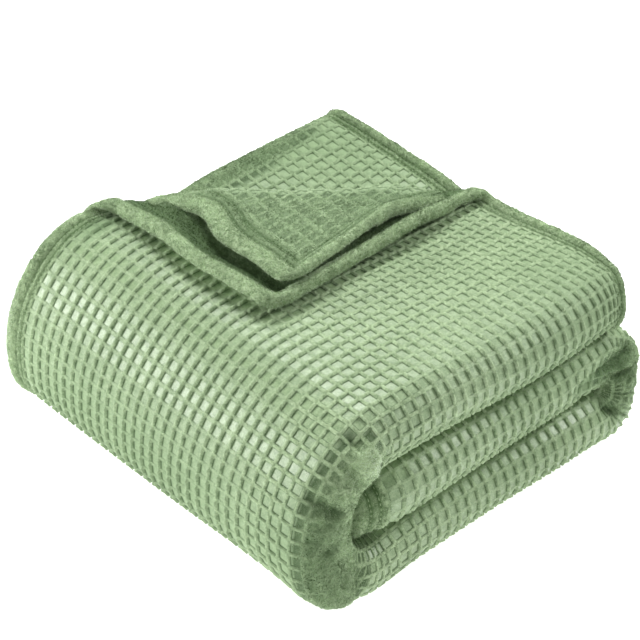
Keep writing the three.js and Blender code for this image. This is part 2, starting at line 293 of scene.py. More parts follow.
# A stitch is a ball, one unit across before it is stretched
STITCH_BALL = {"Radius": 0.5, "Subdivisions": 1}
# A fibre is a circle of three corners, one unit long before it is stretched
BLADE_CORNERS = 3
BLADE_RADIUS = 2 / 3
# The floor's height, and an x and y far outside the cloth
LOWEST_PLACE = (-1.0, -1.0, 0.0)

# Grain of the pile: input, its scale and the noise's roughness
GRAIN = [("Fibre Scale", 900.0, 0.7), ("Tuft Scale", 220.0, 0.6), ("Nap Scale", 14.0, 0.55)]
GRAIN_DETAIL = 3.0
# The fibres' share in tone and in height, where the tufts have the rest
GRAIN_TONE_SHARE = 0.5
GRAIN_HEIGHT_SHARE = 0.55
# Scale of the tufts that single fibres stand in
FIBRE_TUFTS = 75.0

# Colours
WHITE = (1, 1, 1, 1)
# Ends of the pile's tone. Painted shade darkens towards the dark ones, and the waffle's light one is also its
# painted crest highlight
WAFFLE_DARK = (0.09, 0.16, 0.06, 1)
WAFFLE_LIGHT = (0.46, 0.595, 0.35, 1)
WAFFLE_FLOOR = (0.28, 0.395, 0.21, 1)
# Painted shade at the feet of the waffle's ridges
WAFFLE_FOOT_SHADE = (0.055, 0.105, 0.035, 1)
PLUSH_DARK = (0.08, 0.145, 0.05, 1)
PLUSH_LIGHT = (0.52, 0.66, 0.40, 1)
FIBRE_DARK = (0.32, 0.445, 0.235, 1)
FIBRE_LIGHT = (0.76, 0.90, 0.64, 1)
# A painted highlight on the fibres, then painted shade on them that also colours their dark patches
FIBRE_PAINTED_HIGHLIGHT = (0.90, 0.96, 0.86, 1)
FIBRE_SHADE = (0.07, 0.125, 0.04, 1)
THREAD_DARK = (0.16, 0.25, 0.105, 1)
THREAD_LIGHT = (0.44, 0.57, 0.33, 1)

# What is the same all over a surface
FLEECE_FINISH = {
    "Roughness": 0.92, "Specular IOR Level": 0.65,
    "Sheen Weight": 0.15, "Sheen Roughness": 0.45, "Sheen Tint": (0.78, 0.95, 0.68, 1),
}
FIBRE_FINISH = {"Roughness": 0.7, "Specular IOR Level": 0.3}
THREAD_FINISH = {"Roughness": 0.6}
FLOOR_FINISH = {
    "Base Color": (0.95, 0.95, 0.95, 1), "Roughness": 0.9, "Specular IOR Level": 0.1,
    "Emission Color": WHITE, "Emission Strength": 0.85,
}

# What changes over a surface: a value's two ends, then what comes out at them
TONE_SPREAD = (0.37, 0.63, 0.0, 1.0)
UNEVEN_NAP = (0.3, 0.7, 0.0, 0.3)
RIDGE_SHOWN = (0.2, 0.8, 0.25, 1.0)
WALL_START = (0.0, 0.06, 0.0, 1.0)
# The next two paint shade at the ridges' feet and a highlight on their crests
FOOT_SHADE = (0.05, 0.5, 0.9, 0.0)
CREST_HIGHLIGHT = (0.55, 1.0, 0.0, 0.35)
FLOOR_GRAIN = (0.0, 1.0, 1.0, 0.4)
# Satin floors only where little shade is painted
SATIN_OUTSIDE_PAINTED_SHADE = (0.1, 0.5, 1.0, 0.0)
SATIN_ROUGHNESS = (0.0, 1.0, 0.85, 0.35)
FIBRE_PATCHES = (0.44, 0.56, -0.35, 0.5)
# How much the painted shade darkens the fibres
FIBRE_PAINTED_SHADE = 0.75
FLOOR_TINT = 0.5
LEAST_RIDGE = 0.01
WAFFLE_BUMP = 0.8
PLUSH_BUMP = 1.0
BUMP_DISTANCE = 0.0012

# Camera that took the photograph
CAMERA_EYE = (-0.8826, -0.9307, 1.0012)
CAMERA_AZIMUTH = -43.07
CAMERA_ELEVATION = 34.76
CAMERA_LENS = 104.06
CAMERA_SENSOR = 36.0

# Viewpoints that decide where the cloth needs fine cells, the photograph's side first
VIEWPOINTS = [
    (-43, 35), (-43, 10), (0, 20), (45, 20), (90, 20), (135, 25), (180, 20), (225, 25), (270, 20), (0, 80),
]
PHOTO_SIDE, OTHER_SIDE = 1, 2
# A line of sight starts this far above its cell, and only where the cell faces the viewpoint by this much
SIGHT_LIFT = 1.5
LEAST_FACING = 0.06
# Keeps a cell without area from a division by zero
TINY = 1e-9

# The studio. Lamps: name, place, size and power
LAMPS = [
    ("back_left_softbox", (-1.3, 1.1, 0.78), 0.45, 23.0),
    ("back_right_softbox", (0.62, 0.78, 1.95), 1.0, 40.0),
    ("front_left_softbox", (-1.5, -0.9, 0.9), 0.7, 7.0),
    ("front_right_softbox", (1.35, -0.75, 1.25), 0.4, 21.5),
]
LAMP_TARGET = (0.0, 0.0, 0.1)
SKY_STRENGTH = 0.14
FLOOR_REACH = 6.0


def smooth(low, high, value):
    """0 below low, 1 above high, and a soft rise between them."""
    share = np.clip((value - low) / (high - low), 0.0, 1.0)
    return share * share * (3.0 - 2.0 * share)


def blend(start, end, share):
    return start + (end - start) * share


def lengths(course):
    return [length for _, length, _ in course]


# Where the cloth lies

def locate(course, distance):
    """The stretch that holds each distance along a course, and the distance from that stretch's start."""
    starts = np.cumsum([0.0] + lengths(course)[:-1])
    index = np.clip(np.searchsorted(starts, distance, side="left") - 1, 0, len(course) - 1)
    return index, distance - starts[index]


def across(u):
    """Stretch, y and level above the strip's middle, from the distance across the strip."""
    index, rest = locate(ACROSS, u)
    outer = rest / OUTER_LEVEL
    inner = rest / INNER_LEVEL
    here = [index == k for k in range(len(ACROSS))]
    y = np.select(here, [
        HEM_Y - rest,
        FOLDED_CENTRE_Y - OUTER_LEVEL * np.sin(outer),
        FOLDED_CENTRE_Y + rest,
        BACK_CENTRE_Y + INNER_LEVEL * np.sin(inner),
        BACK_CENTRE_Y - rest,
        FOLDED_CENTRE_Y - INNER_LEVEL * np.sin(inner),
        FOLDED_CENTRE_Y + rest,
    ])
    level = np.select(here, [
        np.full_like(rest, OUTER_LEVEL),
        OUTER_LEVEL * np.cos(outer),
        np.full_like(rest, -OUTER_LEVEL),
        -SHEET_STEP - INNER_LEVEL * np.cos(inner),
        np.full_like(rest, -INNER_LEVEL),
        -INNER_LEVEL * np.cos(inner),
        np.full_like(rest, INNER_LEVEL),
    ])
    return index, y, level


def end_point(rest, y, level):
    """x and z of the top strip's hem end, which bends down less and less towards the back."""
    reach = END_LENGTH - rest
    curl = END_GROWTH * (1 - smooth(*END_DROOP_FADE, y))
    bent = np.maximum(curl, LEAST_CURL)
    angle = math.pi / 2 - bent * reach
    radius = 1 / bent + level
    x = END_X + radius * np.cos(angle)
    z = TOP_Z - 1 / bent + radius * np.sin(angle)
    straight = curl < LEAST_CURL
    return np.where(straight, END_X + reach, x), np.where(straight, TOP_Z + level, z)


def along(s, y, level):
    """Stretch, distance into it, x and z, from the distance along the strip."""
    index, rest = locate(COURSE, s)
    end_x, end_z = end_point(rest, y, level)
    nose = math.pi / 2 + rest / STRIP
    turn = rest / TURN_RADIUS - math.pi / 2
    here = [index == k for k in range(len(COURSE))]
    x = np.select(here, [
        end_x,
        END_X - rest,
        NOSE_CENTRE_X + (STRIP + level) * np.cos(nose),
        NOSE_CENTRE_X + rest,
        TURN_CENTRE_X + (TURN_RADIUS + level) * np.cos(turn),
        TURN_CENTRE_X - rest,
    ])
    z = np.select(here, [
        end_z,
        TOP_Z + level,
        MIDDLE_Z + (STRIP + level) * np.sin(nose),
        BOTTOM_Z - level,
        BOTTOM_Z + TURN_RADIUS + (TURN_RADIUS + level) * np.sin(turn),
        MIDDLE_Z + level,
    ])
    return index, rest, x, z


def inner_tip(point, rest):
    """Draws the inner end of the strip together to a rounded tip that turns away into the roll."""
    share = np.clip((rest - MIDDLE_LENGTH + INNER_TIP_LENGTH) / INNER_TIP_LENGTH, 0.0, 1.0)
    size = np.sqrt(1 - (INNER_TIP_SHARE * share) ** 2)
    closed = (1 - size) / (1 - math.sqrt(1 - INNER_TIP_SHARE ** 2))
    in_bend = point[:, 1] < FOLDED_CENTRE_Y
    y = FOLDED_CENTRE_Y + (point[:, 1] - FOLDED_CENTRE_Y) * np.where(in_bend, size, 1.0)
    z = MIDDLE_Z + (point[:, 2] - MIDDLE_Z) * size - INNER_TIP_SAG * HALF_STRIP * (1 - size)
    turn = INNER_TIP_TURN * closed * (1 - smooth(FOLDED_CENTRE_Y, 0.0, point[:, 1]))
    return np.column_stack([point[:, 0], y + turn, z])


def fold_place(turned, corner_x, sheet_x, y):
    """Where points of a sheet lie on its turned corner.

    Returns the corner's two legs, each point's distance beyond the fold's start, that distance at the corner
    itself, and the place along the fold, from 0 at its left end to 1 at its right end.
    """
    leg_x = turned["steps"] * FOLD_STEP_X
    leg_y = turned["steps"] * FOLD_STEP_Y
    share_x = (corner_x - sheet_x) / leg_x
    share_y = (HEM_Y - y) / leg_y
    corner_beyond = leg_x * leg_y / math.hypot(leg_x, leg_y)
    return leg_x, leg_y, (1 - share_x - share_y) * corner_beyond, corner_beyond, (1 + share_y - share_x) / 2


def fold_line(turned, share):
    """Points where a turned corner's fold starts, the direction of its bulge, and the way to the tip."""
    left = np.array(turned["left"], float)
    right = np.array(turned["right"], float)
    line = right - left
    outward = np.array([-line[1], line[0]]) / np.linalg.norm(line)
    bow = 4 * turned["bow"] * share * (1 - share)
    on_line = left + share[:, None] * line - bow[:, None] * outward
    return on_line, outward, np.array(turned["tip"], float) - (left + right) / 2


def fold_height(turned, share):
    """Height at which a turned corner's fold starts."""
    pressed = blend(turned["peak"], -turned["press"], smooth(*PRESS_SHARES, share))
    return TOP_Z + turned["level"] + pressed


def flap_point(turned, share, beyond, corner_beyond, rim):
    """Points of a turned corner: round its fold, then over the sheet to its tip."""
    on_line, outward, inward = fold_line(turned, share)
    least, until = turned["narrow"]
    radius = turned["radius"] * blend(least, 1.0, smooth(0.0, until, np.minimum(share, 1 - share)))
    angle = np.clip(beyond / radius, 0.0, math.pi)
    progress = np.clip((beyond - math.pi * radius) / (corner_beyond - math.pi * radius), 0.0, None)
    plan = on_line + (radius * np.sin(angle))[:, None] * outward + progress[:, None] * inward
    height = fold_height(turned, share) + radius * (1 - np.cos(angle))
    height = height + turned["lift"] * smooth(0.0, LIFT_SHARE, progress)
    height = height + turned["curl"] * (1 - smooth(*CURL_BAND, rim)) * smooth(0.0, CURL_SHARE, progress)
    return np.column_stack([plan, height])


def turn_over(point, sheet_x, y, corner_x, turned):
    """Turns a sheet's corner over its fold, and drags along what lies in front of the fold."""
    leg_x, leg_y, beyond, corner_beyond, share = fold_place(turned, corner_x, sheet_x, y)
    on_line = fold_line(turned, share)[0]
    drag = blend(*DRAG_LENGTH, smooth(0.0, DRAG_SHARE, share))
    hold = smooth(-drag, 0.0, beyond)
    flat_x = blend(point[:, 0], sheet_x, hold) + hold * (on_line[:, 0] - corner_x + leg_x * (1 - share))
    flat_y = y + hold * (on_line[:, 1] - HEM_Y + leg_y * share)
    flat_z = blend(point[:, 2], fold_height(turned, share), hold)
    rim = np.minimum(corner_x - sheet_x, HEM_Y - y)
    flap = flap_point(turned, share, beyond, corner_beyond, rim)
    return np.where((beyond <= 0)[:, None], np.column_stack([flat_x, flat_y, flat_z]), flap)


def uncovered_rise(x, y, level):
    """How far the two lower sheets rise where the turned corner leaves them bare."""
    rise = UNCOVERED_RISE
    beyond = fold_place(TURNED[SECOND], HEM_X, x, y)[2]
    height = rise["start"] * smooth(-rise["blend"], rise["blend"], beyond)
    height = height + rise["corner"] * smooth(0.0, rise["length"], beyond)
    share = (level + OUTER_LEVEL) / (OUTER_LEVEL - INNER_LEVEL)
    return height * blend(rise["lowest_share"], 1.0, share)


def nearness(point, at, reach):
    """1 at a place, fading to 0 over a reach in x, y and z."""
    away = (point - np.array(at)) / np.array(reach)
    return np.exp(-(away ** 2).sum(1))


def push(point):
    """Shifts the cloth by the table of pushes, but not up or down where it lies on the floor."""
    moved = point.copy()
    hold = smooth(0.0, FLOOR_FADE, point[:, 2] - CLOTH)
    for at, reach, shift in PUSHES:
        strength = nearness(point, at, reach)
        moved[:, :2] += strength[:, None] * np.array(shift[:2])
        moved[:, 2] += strength * hold * shift[2]
    return moved


def cloth_point(s, u):
    """Points of the cloth's middle surface, from the distances along the strip and across it."""
    sheet, y, level = across(u)
    part, rest, x, z = along(s, y, level)
    point = np.column_stack([x, y, z])
    on_top = part <= TOP
    growth = 1 + level * END_GROWTH
    sheet_x = np.where(part == END, END_X + (END_LENGTH - rest) * growth, x)
    for index, turned in TURNED.items():
        mine = on_top & (sheet == index)
        corner_x = END_X + END_LENGTH * growth[mine]
        point[mine] = turn_over(point[mine], sheet_x[mine], y[mine], corner_x, turned)
    inside = part == MIDDLE
    point[inside] = inner_tip(point[inside], rest[inside])
    bare = on_top & (level < 0) & (sheet != UPPER) & (sheet != SECOND)
    point[bare, 2] += uncovered_rise(x[bare], y[bare], level[bare])
    return push(point) + CENTRING


def cloth_normal(s, u):
    """Directions in which the waffle side faces."""
    along_strip = cloth_point(s + NUDGE, u) - cloth_point(s - NUDGE, u)
    across_strip = cloth_point(s, u + NUDGE) - cloth_point(s, u - NUDGE)
    normal = np.cross(along_strip, across_strip)
    return normal / np.linalg.norm(normal, axis=1)[:, None]


# The points of the cloth and what they carry

def lattice(course):
    """Where the cloth has points along a course.

    Returns the distances, the waffle's count at each, the distance from the nearer hem, and the index at
    which each cell starts. The hem bands are the first and the last cell.
    """
    plain = np.cumsum([0.0] + lengths(course))
    outside = np.cumsum([0.0] + [length * growth for _, length, growth in course])
    total = outside[-1]
    hem = np.array([distance for distance, _ in HEM_PROFILE])
    cells = round((total - 2 * HEM_BAND) / WAFFLE_PITCH)
    pitch = (total - 2 * HEM_BAND) / cells
    inner = HEM_BAND + pitch * (np.arange(cells)[:, None] + np.array(CELL_SAMPLES)).ravel()
    places = np.concatenate([hem, inner, [total - HEM_BAND], total - hem[::-1]])
    starts = [0] + [len(hem) + len(CELL_SAMPLES) * k for k in range(cells + 1)] + [len(places) - 1]
    count = (places - HEM_BAND) / pitch + SHOULDER
    return np.interp(places, outside, plain), count, np.minimum(places, total - places), starts


def rounded_corners(s, u):
    """The same distances with the cloth's four corners drawn in to arcs."""
    s = s.copy()
    u = u.copy()
    length = sum(lengths(COURSE))
    width = sum(lengths(ACROSS))
    for far_s in (False, True):
        for far_u in (False, True):
            down = CORNER_RADIUS - (length - s if far_s else s)
            over = CORNER_RADIUS - (width - u if far_u else u)
            inside = (down > 0) & (over > 0)
            shift_s = down * (1 - np.sqrt(1 - (over / CORNER_RADIUS) ** 2 / 2))
            shift_u = over * (1 - np.sqrt(1 - (down / CORNER_RADIUS) ** 2 / 2))
            s[inside] += (-1 if far_s else 1) * shift_s[inside]
            u[inside] += (-1 if far_u else 1) * shift_u[inside]
    return s, u


def hem_half(distance, half):
    """Half the cloth's thickness at a distance from its rim, where the hem is rolled and sewn."""
    places = [place for place, _ in HEM_PROFILE] + [HEM_BAND]
    halves = [value for _, value in HEM_PROFILE] + [half]
    return np.interp(distance, places, halves)


def seam_share(distance, width):
    """1 on a hem's seams, 0 away from them."""
    return np.max([np.exp(-((distance - seam) / width) ** 2) for seam in SEAMS], axis=0)


def spots(table, point):
    """Sum of the soft spots of a table at each point. Columns: place, reach, strength."""
    total = np.zeros(len(point))
    for at, reach, strength in table:
        total += strength * nearness(point, at, reach)
    return total


def crease_depth(point):
    """How deep the creases of the table are pressed into the cloth at each point."""
    depths = np.zeros(len(point))
    for start, end, width, depth in CREASES:
        line = np.subtract(end, start).astype(float)
        share = np.clip((point - start) @ line / (line @ line), 0.0, 1.0)
        away = np.linalg.norm(point - start - share[:, None] * line, axis=1)
        depths += depth * np.exp(-(away / width) ** 2)
    return depths


def near_stretch(course, distance, index):
    """1 inside one stretch of a course, fading out beside it."""
    starts = np.cumsum([0.0] + lengths(course))
    outside = np.maximum(starts[index] - distance, distance - starts[index + 1])
    return 1 - smooth(0.0, BEND_REACH, outside)


def ridge_strength(s, u, point, hem, flap):
    """Strength of the ridges across the strip and along it, and of the waffle as a whole.

    Ridges that run round a bend stand out, and those that lie along its axis are low.
    """
    lean = near_stretch(COURSE, s, NOSE) - near_stretch(ACROSS, u, OUTER_BEND)
    crush = spots(CRUSHED, point) + FLAP_CRUSH * flap + TURN_CRUSH * near_stretch(COURSE, s, TURN)
    across_strip = 1 - RIDGE_LEAN * np.maximum(lean, WEAK_LEAN * lean)
    along_strip = 1 + RIDGE_LEAN * np.minimum(lean, WEAK_LEAN * lean)
    waffle = smooth(*WAFFLE_START, hem) * (1 - np.clip(crush, 0.0, 1.0))
    return np.column_stack([across_strip, along_strip, waffle])


def turned_corner(s, u):
    """1 on the corner of the second sheet that is turned over, 0 elsewhere."""
    sheet, y, level = across(u)
    part, _, x, _ = along(s, y, level)
    beyond = fold_place(TURNED[SECOND], HEM_X, x, y)[2]
    return ((sheet == SECOND) & (part <= TOP)) * smooth(*FLAP_BAND, beyond)


def cloth_sides(s, u, hem):
    """The cloth's middle surface, the depth of its creases, and the points of its face and back."""
    normal = cloth_normal(s, u)
    middle = cloth_point(s, u)
    creases = crease_depth(middle)
    middle = middle - normal * creases[:, None]
    thin = 1 - np.clip(spots(SQUEEZED, middle), 0.0, 1.0)
    face = middle + normal * (thin * hem_half(hem, FACE_HALF))[:, None]
    back = middle - normal * (thin * hem_half(hem, BACK_HALF))[:, None]
    return middle, creases, face, back


def pile_values(s, u, hem, middle, creases):
    """Strength of the ridges, thickness of the pile, and the painted shade and light with the seams'
    darkness: the face's, then the back's.
    """
    flap = turned_corner(s, u)
    inside = smooth(*PAINTED_SHADE_BAND, hem)
    bare = 1 - seam_share(hem, SEAM_BARE)
    # Painted shade, and painted light below zero, from the spots, the turned corner and the creases, with the
    # seams' dark lines. The back adds more painted shade inside its rim
    nap_and_painted_shading = spots(PAINTED_SHADE_AND_LIGHT, middle) + FLAP_PAINTED_SHADE * flap * inside + CREASE_PAINTED_SHADE * creases
    nap_and_painted_shading = nap_and_painted_shading + SEAM_NAP * seam_share(hem, SEAM_WIDTH)
    ridges = ridge_strength(s, u, middle, hem, flap)
    face_pile = smooth(*PILE_CRUSH, 1 - ridges[:, 2])
    return {
        "ridges": np.concatenate([ridges, np.zeros_like(ridges)]),
        "pile": np.concatenate([face_pile, np.ones(len(hem))]) * np.tile(bare, 2),
        "nap_and_painted_shading": np.concatenate([nap_and_painted_shading, nap_and_painted_shading + BACK_PAINTED_SHADE * inside]),
    }


# The cells of the cloth: fine where they show, coarse where they are hidden

def direction(azimuth, elevation):
    """Direction towards a viewpoint. Azimuth 0 is the side of the folded edges."""
    turn = math.radians(azimuth)
    rise = math.radians(elevation)
    return Vector((math.sin(turn) * math.cos(rise), -math.cos(turn) * math.cos(rise), math.sin(rise)))


def cell_sights(side, sign):
    """Directions in which the cells of one side face, and points a little above their middles."""
    spread = np.cross(side[1:, 1:] - side[:-1, :-1], side[:-1, 1:] - side[1:, :-1])
    normal = sign * spread / (np.linalg.norm(spread, axis=-1)[..., None] + TINY)
    middle = (side[:-1, :-1] + side[1:, :-1] + side[1:, 1:] + side[:-1, 1:]) / 4
    return normal, middle + SIGHT_LIFT * normal


def first_view(tree, start, facing, views):
    """PHOTO_SIDE or OTHER_SIDE for the first view from which a cell shows, or 0."""
    for order, view in enumerate(views):
        if facing.dot(view) > LEAST_FACING and tree.ray_cast(start, view)[0] is None:
            return PHOTO_SIDE if order == 0 else OTHER_SIDE
    return 0


def seen_cells(face, back, rows, columns):
    """From where each cell of the waffle face and of the plush back shows, as first_view tells it."""
    corner = np.ix_(rows, columns)
    sides = [face[corner], back[corner]]
    shape = sides[0].shape[:2]
    ids = np.arange(shape[0] * shape[1]).reshape(shape)
    quads = np.stack([ids[:-1, :-1], ids[1:, :-1], ids[1:, 1:], ids[:-1, 1:]], axis=-1).reshape(-1, 4)
    points = np.concatenate([side.reshape(-1, 3) for side in sides])
    tree = BVHTree.FromPolygons(points.tolist(), np.concatenate([quads, quads + ids.size]).tolist())
    views = [direction(*view) for view in VIEWPOINTS]
    seen = []
    for side, sign in zip(sides, (1.0, -1.0)):
        normal, start = cell_sights(side, sign)
        cells = np.zeros(normal.shape[:2], int)
        for place in np.ndindex(cells.shape):
            cells[place] = first_view(tree, Vector(start[place]), Vector(normal[place]), views)
        seen.append(cells)
    return seen


def widened(cells):
    """The cells and their neighbours."""
    padded = np.pad(cells, 1)
    result = cells.copy()
    for down in range(3):
        for right in range(3):
            result |= padded[down:down + cells.shape[0], right:right + cells.shape[1]]
    return result


def fine_cells(seen, tight):
    """Which cells of the waffle face and of the plush back are made of fine faces.

    The back is fine only on the hems. tight: cells at the ends of folds, which are fine on both sides.
    """
    hems = np.ones(seen[1].shape, bool)
    hems[1:-1, 1:-1] = False
    face, back = [widened(side == PHOTO_SIDE) | (side == OTHER_SIDE) for side in seen]
    return face | tight, back & hems | tight


def fold_end_cells(row_s, column_u):
    """Which cells lie at either end of a turned corner's fold, from the distances of the cells' lines."""
    middle_s = (row_s[:-1] + row_s[1:]) / 2
    middle_u = (column_u[:-1] + column_u[1:]) / 2
    sheet, y, level = across(np.tile(middle_u, len(middle_s)))
    part, _, x, _ = along(np.repeat(middle_s, len(middle_u)), y, level)
    result = np.zeros(len(x), bool)
    for index, turned in TURNED.items():
        _, _, beyond, _, share = fold_place(turned, HEM_X, x, y)
        near = (beyond > FOLD_END_BAND[0]) & (beyond < FOLD_END_BAND[1])
        near &= np.minimum(share, 1 - share) < FOLD_END_SHARE
        result |= near & (sheet == index) & (part <= TOP)
    return result.reshape(len(middle_s), len(middle_u))


def edge_flags(fine, other):
    """Which edges between cells are fine: along the rows' lines, and along the columns' lines."""
    rim = fine | other
    row_lines = np.vstack([rim[:1], fine[:-1] | fine[1:], rim[-1:]])
    column_lines = np.hstack([rim[:, :1], fine[:, :-1] | fine[:, 1:], rim[:, -1:]])
    return row_lines, column_lines


def span(start, end, fine):
    """Indices from start towards end, without the end."""
    if not fine:
        return [start]
    return list(range(start, end, 1 if end > start else -1))


def fine_cell(ids, top, bottom, left, right):
    """Small faces of one cell, and whether each is the cell's floor."""
    faces = []
    floors = []
    for down in range(top, bottom):
        for over in range(left, right):
            corners = ((down, over), (down + 1, over), (down + 1, over + 1), (down, over + 1))
            faces.append([ids[corner] for corner in corners])
            floors.append(down - top == FLOOR_SAMPLE and over - left == FLOOR_SAMPLE)
    return faces, floors


def cell_faces(fine, other, shown, ids, rows, columns):
    """Faces of one side of the cloth, the kind of each, and whether it shows.

    A kind is hem, floor or ridge. Coarse cells take the points of their fine neighbours.
    """
    row_lines, column_lines = edge_flags(fine, other)
    faces = []
    kinds = []
    shows = []
    for i, j in np.ndindex(fine.shape):
        top, bottom = rows[i], rows[i + 1]
        left, right = columns[j], columns[j + 1]
        if fine[i, j]:
            made, floors = fine_cell(ids, top, bottom, left, right)
        else:
            loop = [ids[row, left] for row in span(top, bottom, column_lines[i, j])]
            loop += [ids[bottom, column] for column in span(left, right, row_lines[i + 1, j])]
            loop += [ids[row, right] for row in span(bottom, top, column_lines[i, j + 1])]
            loop += [ids[top, column] for column in span(right, left, row_lines[i, j])]
            made, floors = [loop], [False]
        hem = i in (0, fine.shape[0] - 1) or j in (0, fine.shape[1] - 1)
        faces += made
        kinds += ["hem" if hem else "floor" if floor else "ridge" for floor in floors]
        shows += [bool(shown[i, j])] * len(made)
    return faces, kinds, shows


def cloth_faces(seen, tight, shape, rows, columns):
    """Faces of both sides of the cloth, the kind of each, and which of them show as face or as back."""
    face_fine, back_fine = fine_cells(seen, tight)
    face_shown, back_shown = [widened((side > 0) | tight) for side in seen]
    face_ids = np.arange(shape[0] * shape[1]).reshape(shape)
    back_ids = face_ids + face_ids.size
    for rim in (np.s_[0, :], np.s_[-1, :], np.s_[:, 0], np.s_[:, -1]):
        back_ids[rim] = face_ids[rim]
    front, kinds, front_shows = cell_faces(face_fine, back_fine, face_shown, face_ids, rows, columns)
    rear, _, rear_shows = cell_faces(back_fine, face_fine, back_shown, back_ids, rows, columns)
    shows = {
        "face_shows": front_shows + [False] * len(rear),
        "back_shows": [False] * len(front) + rear_shows,
    }
    return front + [loop[::-1] for loop in rear], kinds + ["back"] * len(rear), shows


def seam_lines(face, shown, rows, columns):
    """Points and edges of the seams on the waffle side, where they show."""
    height, width = face.shape[:2]
    row_cell = np.searchsorted(rows, np.arange(height), side="right") - 1
    column_cell = np.searchsorted(columns, np.arange(width), side="right") - 1
    row_cell = np.minimum(row_cell, len(rows) - 2)
    column_cell = np.minimum(column_cell, len(columns) - 2)
    points = []
    edges = []
    for index in [k for k, (distance, _) in enumerate(HEM_PROFILE) if distance in SEAMS]:
        low, high = height - 1 - index, width - 1 - index
        sides = [[(row, column) for column in range(index, high + 1)] for row in (index, low)]
        sides += [[(row, column) for row in range(index, low + 1)] for column in (index, high)]
        for side in sides:
            for start, end in zip(side, side[1:]):
                if shown[row_cell[start[0]], column_cell[start[1]]]:
                    edges.append((len(points), len(points) + 1))
                    points += [face[start], face[end]]
    return np.array(points), edges


def used_only(values, faces):
    """The values of the points that faces use, and the faces on those points alone."""
    used = np.unique(np.concatenate([np.array(face) for face in faces]))
    place = np.zeros(len(values["points"]), int)
    place[used] = np.arange(len(used))
    faces = [place[face].tolist() for face in faces]
    return {name: numbers[used] for name, numbers in values.items()}, faces


def cloth_mesh():
    """The closed cloth before its waffle is raised.

    Returns what its points carry, its faces, the kind of each face, which faces show, and the seams.
    """
    s, row_count, row_hem, rows = lattice(COURSE)
    u, column_count, column_hem, columns = lattice(ACROSS)
    shape = (len(s), len(u))
    grid = shape + (3,)
    all_s, all_u = rounded_corners(np.repeat(s, len(u)), np.tile(u, len(s)))
    hem = np.minimum(row_hem[:, None], column_hem[None, :]).ravel()
    middle, creases, face, back = cloth_sides(all_s, all_u, hem)
    count = np.column_stack([np.repeat(row_count, len(u)), np.tile(column_count, len(s)), hem])
    values = pile_values(all_s, all_u, hem, middle, creases)
    values["points"] = np.concatenate([face, back])
    values["count"] = np.tile(count, (2, 1))
    seen = seen_cells(face.reshape(grid), back.reshape(grid), rows, columns)
    tight = fold_end_cells(s[rows], u[columns])
    faces, kinds, shows = cloth_faces(seen, tight, shape, rows, columns)
    seams = seam_lines(face.reshape(grid), seen[0] > 0, rows, columns)
    values, faces = used_only(values, faces)
    return values, faces, kinds, shows, seams


# Helpers for meshes and node trees

def new_piece(name, points, faces, edges=()):
    """A smooth object with its mesh, in the scene."""
    mesh = bpy.data.meshes.new(name)
    mesh.from_pydata(points.tolist(), edges, faces)
    mesh.polygons.foreach_set("use_smooth", [True] * len(faces))
    piece = bpy.data.objects.new(name, mesh)
    bpy.context.collection.objects.link(piece)
    return piece


def fill(tree, node, values):
    """Gives a node's inputs, by name or number, constants or the outputs of other nodes."""
    for key, value in values.items():
        if isinstance(value, bpy.types.NodeSocket):
            tree.links.new(value, node.inputs[key])
        else:
            node.inputs[key].default_value = value


def place_node(tree, kind, values=(), **settings):
    """A node with its settings. values: what its inputs get, in their order or by name or number."""
    made = tree.nodes.new(kind)
    for name, value in settings.items():
        setattr(made, name, value)
    fill(tree, made, values if isinstance(values, dict) else dict(enumerate(values)))
    return made


def output(tree, kind, values=(), **settings):
    """The first output of a new node."""
    return place_node(tree, kind, values, **settings).outputs[0]


def sum_up(tree, operation, *values, clamp=False):
    """Result of a Math node."""
    return output(tree, "ShaderNodeMath", values, operation=operation, use_clamp=clamp)


def ranged(tree, value, *ends, **settings):
    """Result of a Map Range node. ends: the value's two ends, then what comes out at them."""
    return output(tree, "ShaderNodeMapRange", [value, *ends], **settings)


def number_input(tree, label, value):
    """Gives a tree a named number input."""
    socket = tree.interface.new_socket(label, in_out="INPUT", socket_type="NodeSocketFloat")
    socket.default_value = value


def geometry_tree(name, inputs):
    """A geometry tree with named number inputs. Returns the tree, its inputs' sockets and its output node."""
    tree = bpy.data.node_groups.new(name, "GeometryNodeTree")
    tree.interface.new_socket("Geometry", in_out="INPUT", socket_type="NodeSocketGeometry")
    for label, value in inputs:
        number_input(tree, label, value)
    tree.interface.new_socket("Geometry", in_out="OUTPUT", socket_type="NodeSocketGeometry")
    return tree, tree.nodes.new("NodeGroupInput").outputs, tree.nodes.new("NodeGroupOutput")


def named_value(tree, name, kind):
    """What the geometry carries under a name."""
    return output(tree, "GeometryNodeInputNamedAttribute", {"Name": name}, data_type=kind)


def named_numbers(tree, name):
    """The three numbers that a point carries under one name."""
    return place_node(tree, "ShaderNodeSeparateXYZ", [named_value(tree, name, "FLOAT_VECTOR")]).outputs


def random_value(tree, low, high, seed):
    """A random number between two ends. The node has inputs of one name for each kind of number."""
    made = place_node(tree, "FunctionNodeRandomValue", data_type="FLOAT")
    number = {socket.name: k for k, socket in enumerate(made.inputs) if socket.enabled}
    fill(tree, made, {number["Min"]: low, number["Max"]: high, number["Seed"]: seed})
    return next(socket for socket in made.outputs if socket.enabled)


def stored(tree, geometry, name, value, domain):
    """The geometry with a number kept on it under a name."""
    values = {"Geometry": geometry, "Name": name, "Value": value}
    return output(tree, "GeometryNodeStoreNamedAttribute", values, data_type="FLOAT", domain=domain)


def rested(tree, geometry):
    """The geometry with nothing below the floor."""
    place = output(tree, "GeometryNodeInputPosition")
    above = output(tree, "ShaderNodeVectorMath", [place, LOWEST_PLACE], operation="MAXIMUM")
    return output(tree, "GeometryNodeSetPosition", {"Geometry": geometry, "Position": above})


